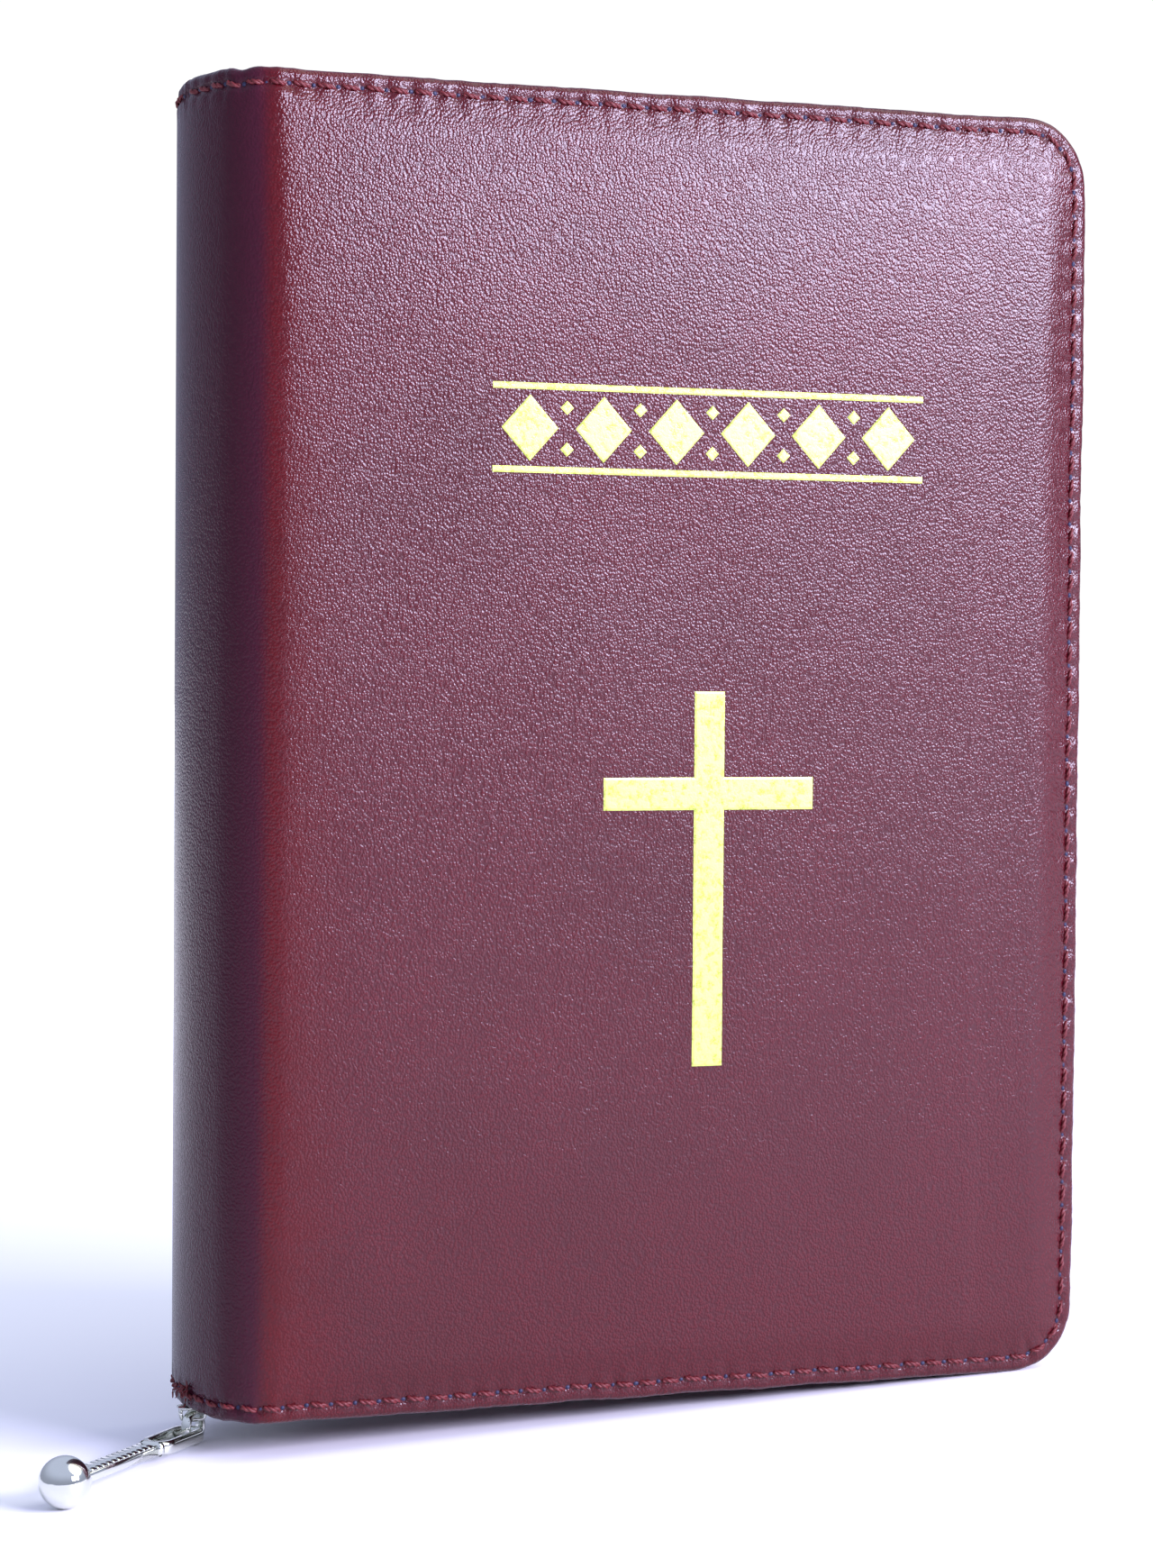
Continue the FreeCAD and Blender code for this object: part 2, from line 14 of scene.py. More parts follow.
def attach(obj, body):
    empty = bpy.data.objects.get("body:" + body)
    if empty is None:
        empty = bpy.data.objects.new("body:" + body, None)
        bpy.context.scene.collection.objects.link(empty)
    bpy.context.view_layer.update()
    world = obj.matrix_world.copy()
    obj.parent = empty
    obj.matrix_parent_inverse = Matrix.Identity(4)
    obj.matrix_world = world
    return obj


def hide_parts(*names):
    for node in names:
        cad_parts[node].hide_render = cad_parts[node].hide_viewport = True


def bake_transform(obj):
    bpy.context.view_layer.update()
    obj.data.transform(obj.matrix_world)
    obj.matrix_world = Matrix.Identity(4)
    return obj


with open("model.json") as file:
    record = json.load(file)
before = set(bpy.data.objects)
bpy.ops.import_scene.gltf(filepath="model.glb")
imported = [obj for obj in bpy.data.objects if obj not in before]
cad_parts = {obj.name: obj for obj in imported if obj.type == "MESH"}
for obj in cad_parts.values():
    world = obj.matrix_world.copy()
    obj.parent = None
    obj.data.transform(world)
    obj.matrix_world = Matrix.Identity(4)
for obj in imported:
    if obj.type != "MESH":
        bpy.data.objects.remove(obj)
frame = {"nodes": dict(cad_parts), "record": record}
random.seed(7)
MM = 0.001
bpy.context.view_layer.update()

# the closed book, in millimetres, as in the CAD
HALF_WIDTH, HEIGHT, HALF_THICK = 66.5, 185.0, 17.0
FOLD_START, FOLD_RADIUS, FOLD_CENTRE = -56.0, 9.0, 8.0
CROWN_RADIUS, CROWN_X = 31.1, -35.4
CORNER = 9.5
CROWN_ANGLE = math.atan2(FOLD_CENTRE, CROWN_X - FOLD_START)
FOLD_LENGTH = FOLD_RADIUS * (math.pi / 2 - CROWN_ANGLE)
WRAP = FOLD_LENGTH + CROWN_RADIUS * CROWN_ANGLE


# ------------------------------------------------------------------ helpers

def smoothstep(low, high, x):
    t = min(1.0, max(0.0, (x - low) / (high - low)))
    return t * t * (3 - 2 * t)


def bell(x, width):
    return math.exp(-(x / width) ** 2)


def wave(x, y, seed):
    """Smooth noise between about -1 and 1."""
    return noise.noise(Vector((x, y, seed)))


def add_mesh(name, verts, faces, material, smooth=True):
    mesh = bpy.data.meshes.new(name)
    mesh.from_pydata([Vector(v) * MM for v in verts], [], faces)
    mesh.validate()
    mesh.update()
    obj = bpy.data.objects.new(name, mesh)
    bpy.context.scene.collection.objects.link(obj)
    mesh.materials.append(material)
    for polygon in mesh.polygons:
        polygon.use_smooth = smooth
    return obj


def ring_faces(count, around, closed):
    """Quads between a row of rings that have the same number of points around."""
    faces = []
    for i in range(count if closed else count - 1):
        for j in range(around):
            here, there = i * around, (i + 1) % count * around
            beside = (j + 1) % around
            faces.append((here + j, here + beside, there + beside, there + j))
    return faces


class Shape:
    """Collects several closed surfaces into one mesh."""

    def __init__(self):
        self.verts, self.faces = [], []

    def add(self, verts, faces):
        start = len(self.verts)
        self.verts += [Vector(v) for v in verts]
        self.faces += [tuple(start + k for k in face) for face in faces]

    def rings(self, rings, closed=False):
        """Skins a row of rings of points; the ends are capped unless the row is closed."""
        count = len(rings[0])
        faces = ring_faces(len(rings), count, closed)
        if not closed:
            faces.append(tuple(reversed(range(count))))
            faces.append(tuple((len(rings) - 1) * count + k for k in range(count)))
        self.add([p for ring in rings for p in ring], faces)

    def tube(self, path, radius, sides, up, squash=1.0):
        """A round or oval bar along a path; radius may be one number or one for each point."""
        rings = []
        for i, point in enumerate(path):
            before, after = path[max(i - 1, 0)], path[min(i + 1, len(path) - 1)]
            along = (after - before).normalized()
            side = along.cross(up)
            side = side.normalized() if side.length > 1e-6 else Vector((1, 0, 0))
            over = side.cross(along)
            r = radius[i] if isinstance(radius, list) else radius
            rings.append([point + side * (r * math.cos(a)) + over * (r * squash * math.sin(a))
                          for a in (2 * math.pi * k / sides for k in range(sides))])
        self.rings(rings)

    def box(self, low, high, bevel):
        """A box with its edges and corners cut back by the bevel."""
        (x0, y0, z0), (x1, y1, z1) = low, high
        rings = []
        for z, cut in ((z0, bevel), (z0 + bevel, 0), (z1 - bevel, 0), (z1, bevel)):
            a, b, c, d = x0 + cut, x1 - cut, y0 + cut, y1 - cut
            e = bevel
            outline = ((a + e, c), (b - e, c), (b, c + e), (b, d - e),
                       (b - e, d), (a + e, d), (a, d - e), (a, c + e))
            rings.append([Vector((x, y, z)) for x, y in outline])
        self.rings(rings)

    def build(self, name, material, smooth=True, place=None):
        verts = [place @ v for v in self.verts] if place else self.verts
        return add_mesh(name, verts, self.faces, material, smooth)


# ------------------------------------------------------------------ materials

def new_material(name, colour, roughness=0.5, metallic=0.0, **inputs):
    material = bpy.data.materials.new(name)
    material.use_nodes = True
    shader = material.node_tree.nodes["Principled BSDF"]
    shader.inputs["Base Color"].default_value = (*colour, 1)
    shader.inputs["Roughness"].default_value = roughness
    shader.inputs["Metallic"].default_value = metallic
    for key, value in inputs.items():
        shader.inputs[key.replace("_", " ")].default_value = value
    return material


class Nodes:
    """Short ways to add nodes to a material."""

    def __init__(self, material):
        self.tree = material.node_tree
        self.shader = self.tree.nodes["Principled BSDF"]
        self.place = self.add("ShaderNodeTexCoord").outputs["Object"]

    def add(self, kind, **settings):
        node = self.tree.nodes.new(kind)
        for key, value in settings.items():
            setattr(node, key, value)
        return node

    def link(self, source, target):
        self.tree.links.new(source, target)

    def stretched(self, scale):
        node = self.add("ShaderNodeMapping")
        node.inputs["Scale"].default_value = scale
        self.link(self.place, node.inputs["Vector"])
        return node.outputs["Vector"]

    def noise(self, scale, detail=2.0, roughness=0.5, vector=None):
        node = self.add("ShaderNodeTexNoise")
        node.inputs["Scale"].default_value = scale
        node.inputs["Detail"].default_value = detail
        node.inputs["Roughness"].default_value = roughness
        self.link(vector or self.place, node.inputs["Vector"])
        return node.outputs["Fac"]

    def cells(self, scale, vector):
        node = self.add("ShaderNodeTexVoronoi", feature="F1")
        node.inputs["Scale"].default_value = scale
        self.link(vector, node.inputs["Vector"])
        return node.outputs["Distance"]

    def math(self, operation, a, b):
        node = self.add("ShaderNodeMath", operation=operation)
        for socket, value in zip(node.inputs, (a, b)):
            if isinstance(value, (int, float)):
                socket.default_value = value
            else:
                self.link(value, socket)
        return node.outputs[0]

    def remap(self, value, low, high, to_low=0.0, to_high=1.0):
        node = self.add("ShaderNodeMapRange", interpolation_type="SMOOTHSTEP")
        for key, number in (("From Min", low), ("From Max", high),
                            ("To Min", to_low), ("To Max", to_high)):
            node.inputs[key].default_value = number
        self.link(value, node.inputs["Value"])
        return node.outputs["Result"]

    def mix(self, factor, first, second):
        node = self.add("ShaderNodeMix", data_type="RGBA")
        self.link(factor, node.inputs["Factor"])
        for socket, value in ((node.inputs["A"], first), (node.inputs["B"], second)):
            if isinstance(value, tuple):
                socket.default_value = (*value, 1)
            else:
                self.link(value, socket)
        return node.outputs["Result"]

    def bump(self, height, distance, strength, after=None):
        node = self.add("ShaderNodeBump")
        node.inputs["Strength"].default_value = strength
        node.inputs["Distance"].default_value = distance
        self.link(height, node.inputs["Height"])
        if after:
            self.link(after, node.inputs["Normal"])
        return node.outputs["Normal"]


LEATHER_GLOSS = 0.33


def leather_material():
    """Wine-red calf with a fine pebbled grain and a soft gloss."""
    material = new_material("burgundy_leather", (0.085, 0.006, 0.012), 0.24)
    n = Nodes(material)
    # the grain: pebbles a third of a millimetre wide, pushed about so they aren't round
    drift = n.add("ShaderNodeVectorMath", operation="ADD")
    n.link(n.stretched((1.0, 1.0, 0.8)), drift.inputs[0])
    wobble = n.add("ShaderNodeVectorMath", operation="SCALE")
    warp = n.add("ShaderNodeTexNoise")
    warp.inputs["Scale"].default_value = 700
    n.link(n.place, warp.inputs["Vector"])
    n.link(warp.outputs["Color"], wobble.inputs[0])
    wobble.inputs["Scale"].default_value = 0.00028
    n.link(wobble.outputs[0], drift.inputs[1])
    pebbles = n.cells(2900, drift.outputs[0])
    furrows = n.noise(1.0, 2.5, 0.55, n.stretched((2500, 2500, 2900)))
    fine = n.noise(4200, 2.0, 0.6)
    crease = n.noise(1.0, 3.0, 0.6, n.stretched((70, 70, 210)))
    blotch = n.noise(38, 3.0, 0.55)
    deep = n.noise(9, 2.0)
    first = n.mix(n.remap(blotch, 0.3, 0.7), (0.054, 0.0017, 0.0040), (0.074, 0.0022, 0.0056))
    tone = n.mix(n.remap(deep, 0.35, 0.65), first, (0.066, 0.0020, 0.0056))
    # painted shade: the hollows between the pebbles are darkened, standing in for the shade that falls
    # in them
    hollow_painted_shade = n.remap(pebbles, 0.15, 0.75)
    tone = n.mix(n.math("MULTIPLY", hollow_painted_shade, 0.65), tone, (0.032, 0.0015, 0.0045))
    # painted glow: the fold beside the spine gets a warmer red band standing in for the light the fold
    # catches; painted shade: the spine is darker and duller, standing in for the shade it lies in
    split = n.add("ShaderNodeSeparateXYZ")
    n.link(n.place, split.inputs[0])
    fold_painted_glow = n.math("MULTIPLY", n.remap(split.outputs["X"], -0.0610, -0.0575),
                    n.remap(split.outputs["X"], -0.0575, -0.0440, 1.0, 0.0))
    patchy = n.remap(n.noise(420, 4.0, 0.7), 0.35, 0.6, 0.45, 1.0)
    fold_painted_glow = n.math("MULTIPLY", fold_painted_glow, patchy)
    # painted glow: the warmer red band over the fold
    tone = n.mix(n.math("MULTIPLY", fold_painted_glow, 0.4), tone, (0.074, 0.0020, 0.0026))
    # painted shade: the spine's darker, greyer colour stands in for the shade on the side the window
    # does not reach
    spine_painted_shade = n.remap(split.outputs["X"], -0.0606, -0.0582, 0.8, 0.0)
    n.link(n.mix(spine_painted_shade, tone, (0.034, 0.006, 0.015)), n.shader.inputs["Base Color"])
    duller = n.math("ADD", n.math("MULTIPLY", fold_painted_glow, 0.07), n.math("MULTIPLY", spine_painted_shade, 0.18))
    gloss = n.math("SUBTRACT", LEATHER_GLOSS, duller)
    n.link(gloss, n.shader.inputs["Specular IOR Level"])
    n.link(n.remap(fine, 0.3, 0.7, 0.18, 0.26), n.shader.inputs["Roughness"])
    normal = n.bump(n.remap(pebbles, 0.1, 0.9, 1.0, 0.0), 0.00010, 0.42)
    normal = n.bump(furrows, 0.00015, 0.08, normal)
    normal = n.bump(fine, 0.00008, 0.2, normal)
    normal = n.bump(crease, 0.0006, 0.10, normal)
    n.link(normal, n.shader.inputs["Normal"])
    return material


def thread_material(name, colour):
    material = new_material(name, colour, 0.55)
    n = Nodes(material)
    n.link(n.bump(n.noise(4000, 2.0), 0.0001, 0.5), n.shader.inputs["Normal"])
    return material


def foil_material():
    material = new_material("gold_foil", (0.52, 0.60, 0.12), 0.34, 0.35)
    n = Nodes(material)
    speck = n.noise(1100, 3.0, 0.7)
    n.link(n.mix(n.remap(speck, 0.30, 0.55), (0.34, 0.39, 0.05), (0.58, 0.68, 0.14)),
           n.shader.inputs["Base Color"])
    n.link(n.bump(speck, 0.0002, 0.35), n.shader.inputs["Normal"])
    n.link(n.remap(speck, 0.3, 0.7, 0.25, 0.5), n.shader.inputs["Roughness"])
    return material


def cloth_material(name, colour, scale):
    material = new_material(name, colour, 0.85)
    n = Nodes(material)
    weave = n.add("ShaderNodeTexWave", bands_direction="DIAGONAL")
    weave.inputs["Scale"].default_value = scale
    n.link(n.place, weave.inputs["Vector"])
    n.link(n.bump(weave.outputs["Fac"], 0.0002, 0.6), n.shader.inputs["Normal"])
    return material


def page_material():
    """Cut page edges: fine lines that follow the leaves, which are stacked along Y."""
    material = new_material("page_edges", (0.86, 0.82, 0.70), 0.7)
    n = Nodes(material)
    leaves = n.noise(1.0, 2.0, 0.6, n.stretched((6, 5200, 6)))
    n.link(n.mix(n.remap(leaves, 0.3, 0.7), (0.62, 0.56, 0.44), (0.90, 0.87, 0.77)),
           n.shader.inputs["Base Color"])
    n.link(n.bump(leaves, 0.0003, 0.7), n.shader.inputs["Normal"])
    return material


def paper_material(name, colour):
    material = new_material(name, colour, 0.8)
    n = Nodes(material)
    n.link(n.bump(n.noise(1800, 3.0), 0.0001, 0.3), n.shader.inputs["Normal"])
    return material


def metal_material(name, colour, roughness):
    material = new_material(name, colour, roughness, 1.0)
    n = Nodes(material)
    smear = n.remap(n.noise(500, 2.0), 0.3, 0.7, roughness * 0.7, roughness * 1.5)
    n.link(smear, n.shader.inputs["Roughness"])
    return material


leather = leather_material()
thread = thread_material("red_thread", (0.105, 0.003, 0.006))
bobbin = thread_material("dark_blue_thread", (0.010, 0.011, 0.045))
foil = foil_material()
tape_cloth = cloth_material("zip_tape_weave", (0.060, 0.010, 0.016), 1400)
lining_cloth = cloth_material("lining_cloth", (0.075, 0.014, 0.020), 2200)
padding_foam = cloth_material("padding_foam", (0.75, 0.73, 0.68), 600)
zip_plastic = metal_material("zip_teeth_plastic", (0.10, 0.016, 0.024), 0.4)
zip_plastic.node_tree.nodes["Principled BSDF"].inputs["Metallic"].default_value = 0.0
nickel = metal_material("polished_nickel", (0.68, 0.70, 0.63), 0.08)
pages = page_material()
endpaper = paper_material("endpaper", (0.80, 0.76, 0.66))
board = paper_material("grey_board", (0.40, 0.36, 0.29))
mull = cloth_material("backing_mull", (0.74, 0.71, 0.62), 1200)
headband = cloth_material("headband_weave", (0.66, 0.58, 0.40), 1500)

SLOT_MATERIALS = {
    "cover_leather": leather, "spine_leather": leather, "padding": padding_foam, "board": board,
    "lining": lining_cloth, "endpaper": endpaper, "thread": thread, "gold_foil": foil,
    "zip_tape": tape_cloth, "zip_teeth": zip_plastic, "zip_metal": nickel, "pages": pages,
    "backing": mull, "headband": headband, "polished_metal": nickel,
}
for part in frame["record"]["subparts"]:
    mesh = frame["nodes"][part["node"]].data
    mesh.materials.clear()
    mesh.materials.append(SLOT_MATERIALS[part["material_slot"]])


# ------------------------------------------------------------------ leather skins

def wrap_point(s, lift):
    """Plan position, as X and the distance from the middle plane, at length s along the wrap.

    s is 0 where the cover starts, grows to the fore-edge and falls to -WRAP at mid-spine.
    """
    if s >= 0:
        return FOLD_START + s, HALF_THICK + lift
    if s >= -FOLD_LENGTH:
        angle = -s / FOLD_RADIUS
        reach = FOLD_RADIUS + lift
        return FOLD_START - reach * math.sin(angle), FOLD_CENTRE + reach * math.cos(angle)
    angle = (WRAP + s) / CROWN_RADIUS
    reach = CROWN_RADIUS + lift
    return CROWN_X - reach * math.cos(angle), reach * math.sin(angle)


# the seam runs this far in from the open edges, with stitches near the pitch asked for
STITCH_INSET = 2.2
PITCH_ASKED = 3.5
# how far the padding stands up, and how far from head and foot its slopes reach
PILLOW = 1.3
END_SLOPE = 36
# the padding's own edge shows as a faint step between these lengths along the wrap
PAD_EDGE = (103.6, 105.8)
FORE = HALF_WIDTH - CORNER
FACE = FORE - FOLD_START
STITCH_RADIUS = CORNER - STITCH_INSET
STITCH_TOTAL = 2 * FACE + HEIGHT - 2 * CORNER + math.pi * STITCH_RADIUS
STITCH_PITCH = STITCH_TOTAL / round(STITCH_TOTAL / PITCH_ASKED)
# distances from the open edge at which the skin has a row of points
ROWS = [9.5, 8.7, 8.0, 7.3, 6.6, 5.9, 5.2, 4.6, 4.1, 3.6, 3.2, 2.85, 2.5, 2.2, 1.9, 1.6, 1.3, 1.0,
        0.75, 0.5, 0.3, 0.14, 0.04, 0.0]


def edge_lift(inset, length, s, seed):
    """How far the skin lies below the cover's face at this distance from an open edge."""
    padded = smoothstep(-2.0, 9.0, s)
    drop = 0.20 + 0.18 * padded
    lift = -drop * (1 - smoothstep(2.4, 3.4 + 4.6 * padded, inset))
    from_seam = inset - STITCH_INSET
    hole = math.cos(math.pi * length / STITCH_PITCH) ** 2
    uneven = 0.75 + 0.5 * wave(length * 0.23, 0.0, seed)
    # the groove under the thread, the puckers at its holes, and small wrinkles
    lift -= 0.22 * bell(from_seam, 0.55) * (0.35 + 0.65 * hole ** 2)
    lift -= 0.32 * uneven * hole ** 4 * bell(from_seam, 2.2)
    lift += 0.13 * wave(length * 1.9, inset * 0.3, seed + 4) * bell(inset - 1.8, 2.4)
    # the edge itself is rounded over
    if inset < 1.0:
        lift -= 1.0 - math.sqrt(max(0.0, 1 - (1 - inset) ** 2))
    return lift


def face_lift(s, z):
    """The padded face, which slopes down to head and foot and rolls over at the fore-edge."""
    calm = smoothstep(2, 14, s)
    ends = PILLOW * (1 - min(1.0, min(z, HEIGHT - z) / END_SLOPE)) ** 2
    roll = 1.3 * (1 - smoothstep(-1, 9, FACE + CORNER - s))
    uneven = 0.14 * wave(s * 0.035, z * 0.03, 3.1) - 0.09 * smoothstep(*PAD_EDGE, s)
    return (0.45 * PILLOW - math.hypot(ends, roll)) * smoothstep(-10, 3, s) + calm * uneven


def edge_wander(length, seed):
    """How far the open edge strays from a straight line."""
    return 0.22 * wave(length * 0.11, 0.3, seed + 9) + 0.10 * wave(length * 0.6, 0.7, seed + 11)


# the seam's length at the start and end of each bend, from the foot of the spine round to its head
BEND_LENGTH = math.pi / 2 * STITCH_RADIUS
LOW_END = FACE
FORE_START = LOW_END + BEND_LENGTH
FORE_END = FORE_START + HEIGHT - 2 * CORNER
HIGH_START = FORE_END + BEND_LENGTH
SEAM_END = HIGH_START + FACE


def station_at(length):
    """Which stretch of the open edge a length along the seam falls on, and where on it."""
    if length <= LOW_END:
        return "low", length, length
    if length <= FORE_START:
        return "low_bend", (length - LOW_END) / STITCH_RADIUS, length
    if length <= FORE_END:
        return "fore", CORNER + length - FORE_START, length
    if length <= HIGH_START:
        return "high_bend", (length - FORE_END) / STITCH_RADIUS, length
    return "high", FACE - (length - HIGH_START), length


def wrap_length(station):
    """How far along the wrap a station is; every station past the bends counts as fore-edge."""
    return station[1] if station[0] in ("low", "high") else FACE


def edge_place(station, inset, lift, side, seed):
    """The point this far in from the open edge and this far out of the cover's face."""
    kind, value, length = station
    near_edge = 1 - inset / CORNER
    out = inset - edge_wander(length, seed) * near_edge
    if kind in ("low", "high"):
        x, y = wrap_point(value, lift)
        # the edge has a notch where the cover meets the spine
        out += (0.45 if kind == "high" else 0.2) * bell(value + 7.5, 1.3) * near_edge
        return Vector((x, side * y, out if kind == "low" else HEIGHT - out))
    y = side * (HALF_THICK + lift)
    if kind == "fore":
        return Vector((HALF_WIDTH - out, y, value))
    reach = CORNER - out
    if kind == "low_bend":
        return Vector((FORE + reach * math.sin(value), y, CORNER - reach * math.cos(value)))
    return Vector((FORE + reach * math.cos(value), y, HEIGHT - CORNER + reach * math.sin(value)))


def plan_of(station, inset):
    """Length along the wrap and height of the point this far in from the open edge at a station."""
    kind, value, _ = station
    if kind == "fore":
        return HALF_WIDTH - inset - FOLD_START, value
    if kind in ("low", "high"):
        return value, inset if kind == "low" else HEIGHT - inset
    reach = CORNER - inset
    if kind == "low_bend":
        return FACE + reach * math.sin(value), CORNER - reach * math.cos(value)
    return FACE + reach * math.cos(value), HEIGHT - CORNER + reach * math.sin(value)


def seam_place(length, inset, lift, side, seed):
    """A point over the stitched seam, measured from the skin's own surface there."""
    station = station_at(length)
    surface = edge_lift(inset, length, wrap_length(station), seed)
    return edge_place(station, inset, surface + face_lift(*plan_of(station, inset)) + lift, side, seed)


def build_skin(name, side, seed):
    """The leather of one cover and its half of the spine, one closed surface turned in at the edges."""
    columns = [-WRAP + WRAP * k / 36 for k in range(36)] + [FACE * k / 140 for k in range(141)]
    bends = [BEND_LENGTH * k / 20 for k in range(1, 20)]
    levels = [CORNER + (HEIGHT - 2 * CORNER) * k / 200 for k in range(201)]
    stations = [station_at(s) for s in columns]
    stations += [station_at(LOW_END + b) for b in bends]
    stations += [station_at(min(FORE_START + z - CORNER, FORE_END)) if z > CORNER
                 else ("fore", CORNER, FORE_START) for z in levels]
    stations += [station_at(FORE_END + b) for b in bends]
    stations += [("high", s, HIGH_START + FACE - s) for s in reversed(columns)]

    def place(station, inset, lift):
        return edge_place(station, inset, lift, side, seed)

    def depths(station):
        """Depth of the turned-in rim and of the underside."""
        s = wrap_length(station)
        cover = smoothstep(-3.0, -0.5, s)
        thin = 1.15 - 0.45 * smoothstep(-10.5, -8.0, s)
        return thin + 0.35 + (3.7 - thin - 0.35) * cover, thin + (1.95 - thin) * cover

    verts, index = [], {}

    def put(key, point):
        index[key] = len(verts)
        verts.append(point)

    # the section across the edge has the face's rows and then the six points of the turned-in rim
    section = len(ROWS) + 6
    for i, station in enumerate(stations):
        s = wrap_length(station)
        for j, inset in enumerate(ROWS):
            plan = plan_of(station, inset)
            lift = edge_lift(inset, station[2], s, seed) + face_lift(*plan)
            put((i, j), place(station, inset, lift))
        rim, under = depths(station)
        start = len(ROWS)
        base = edge_lift(0.0, station[2], s, seed) + face_lift(*plan)
        rim = max(rim, -base + 0.25)
        turned_in = ((0.0, base - 0.1 - 0.3 * (rim + base)), (0.0, -rim + 0.15), (0.15, -rim),
                     (1.2, -rim), (1.25, -under), (CORNER, -under))
        for k, (inset, lift) in enumerate(turned_in):
            put((i, start + k), place(station, inset, lift))
    faces = []

    def quad(a, b, c, d):
        corners = tuple(index[key] for key in (a, b, c, d))
        faces.append(corners if side < 0 else corners[::-1])

    for i in range(len(stations) - 1):
        for j in range(section - 1):
            quad((i, j), (i, j + 1), (i + 1, j + 1), (i + 1, j))

    # the rectangle inside the edge strips, above and below
    count, rows = len(columns), len(levels)
    last = len(stations) - 1
    fore_first = count - 1 + len(bends) + 1
    for layer, edge_row in (("top", 0), ("under", section - 1)):
        for c, s in enumerate(columns):
            for r, z in enumerate(levels):
                if r == 0:
                    index[(layer, c, r)] = index[(c, edge_row)]
                elif r == rows - 1:
                    index[(layer, c, r)] = index[(last - c, edge_row)]
                elif c == count - 1:
                    index[(layer, c, r)] = index[(fore_first + r, edge_row)]
                else:
                    lift = face_lift(s, z) if layer == "top" else -depths(("low", s))[1]
                    x, y = wrap_point(s, lift)
                    put((layer, c, r), Vector((x, side * y, z)))
        for c in range(count - 1):
            for r in range(rows - 1):
                ring = [(layer, c, r), (layer, c + 1, r), (layer, c + 1, r + 1), (layer, c, r + 1)]
                quad(*(ring if layer == "top" else ring[::-1]))
    # close the cut at mid-spine
    for r in range(rows - 1):
        quad(("top", 0, r), ("top", 0, r + 1), ("under", 0, r + 1), ("under", 0, r))
    for i in (0, last):
        loop = [index[(i, j)] for j in range(section)]
        if (i == last) == (side < 0):
            loop.reverse()
        faces.append(tuple(loop))
    obj = add_mesh(name, verts, faces, leather)
    # each bend's innermost points lie together at the middle of the corner, so they become one
    work = bmesh.new()
    work.from_mesh(obj.data)
    bmesh.ops.remove_doubles(work, verts=work.verts, dist=0.002 * MM)
    work.to_mesh(obj.data)
    work.free()
    # the two halves meet without a visible line at mid-spine
    for edge in obj.data.edges:
        if all(abs(obj.data.vertices[k].co.y) < 0.01 * MM for k in edge.vertices):
            edge.use_edge_sharp = True
    return obj


def bend_with_fold(obj, side):
    """Bakes the piece's placement into its mesh, the same way for either side."""
    if side < 0:
        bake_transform(obj)
    else:
        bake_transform(obj)


for side_sign, word, seed_value in ((-1, "front", 1.7), (1, "back", 5.3)):
    skin = build_skin(f"{word}_skin", side_sign, seed_value)
    bend_with_fold(skin, side_sign)
    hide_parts(f"{word}_leather", f"{word}_padding")
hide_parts("spine_leather")


# ------------------------------------------------------------------ stitching

def strand(length_from, length_to, side, seed, phase):
    """One ply of a stitch, as a path that winds round the stitch's middle line."""
    path = []
    steps, ply_radius = 9, 0.17
    for k in range(steps + 1):
        t = k / steps
        length = length_from + (length_to - length_from) * t
        turn = phase + 2.6 * math.pi * t
        slant = 0.16 - 0.32 * t
        rise = 0.30 * math.sin(math.pi * min(1.0, max(0.0, 1.25 * t - 0.125))) - 0.10
        path.append(seam_place(length, STITCH_INSET + slant + ply_radius * math.cos(turn),
                               rise + ply_radius * math.sin(turn), side, seed))
    return path


def build_seam(word, side, seed):
    """Twisted stitches along the seam of one half, and the dark thread that shows at each hole."""
    stitches, knots = Shape(), Shape()
    spine_pitch = WRAP / 6.5
    holes = [-(6 - k) * spine_pitch for k in range(6)]
    holes += [k * STITCH_PITCH for k in range(int(round(SEAM_END / STITCH_PITCH)) + 1)]
    holes += [SEAM_END - h for h in reversed(holes) if h < -0.1]
    if side < 0:
        holes.insert(0, -WRAP - spine_pitch / 2 + 0.01)
    outward = Vector((0, side, 0))
    for first, second in zip(holes, holes[1:]):
        sunk = 0.16 * (second - first)
        start, end = max(first + sunk, -WRAP), min(second - sunk, SEAM_END + WRAP)
        if end - start < 0.8:
            continue
        phase = random.uniform(0, 2 * math.pi)
        for ply in (0, math.pi):
            stitches.tube(strand(start, end, side, seed, phase + ply), 0.22, 6, outward)
    for hole in holes:
        if not -WRAP < hole < SEAM_END + WRAP:
            continue
        centre = seam_place(hole, STITCH_INSET, 0.02, side, seed)
        ahead = seam_place(hole + 0.3, STITCH_INSET, 0.02, side, seed)
        along = (ahead - centre).normalized()
        reach = random.uniform(0.30, 0.42)
        path = [centre + along * (reach * u) for u in (-1, -0.8, -0.3, 0.3, 0.8, 1)]
        knots.tube(path, [0.06, 0.24, 0.33, 0.33, 0.24, 0.06], 8, outward, squash=0.8)
    return stitches.build(f"{word}_thread", thread), knots.build(f"{word}_thread_holes", bobbin)


for side_sign, word, seed_value in ((-1, "front", 1.7), (1, "back", 5.3)):
    rows, knots = build_seam(word, side_sign, seed_value)
    for piece in (rows, knots):
        bend_with_fold(piece, side_sign)
    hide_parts(f"{word}_stitching")
    if side_sign < 0:
        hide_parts("spine_stitching")


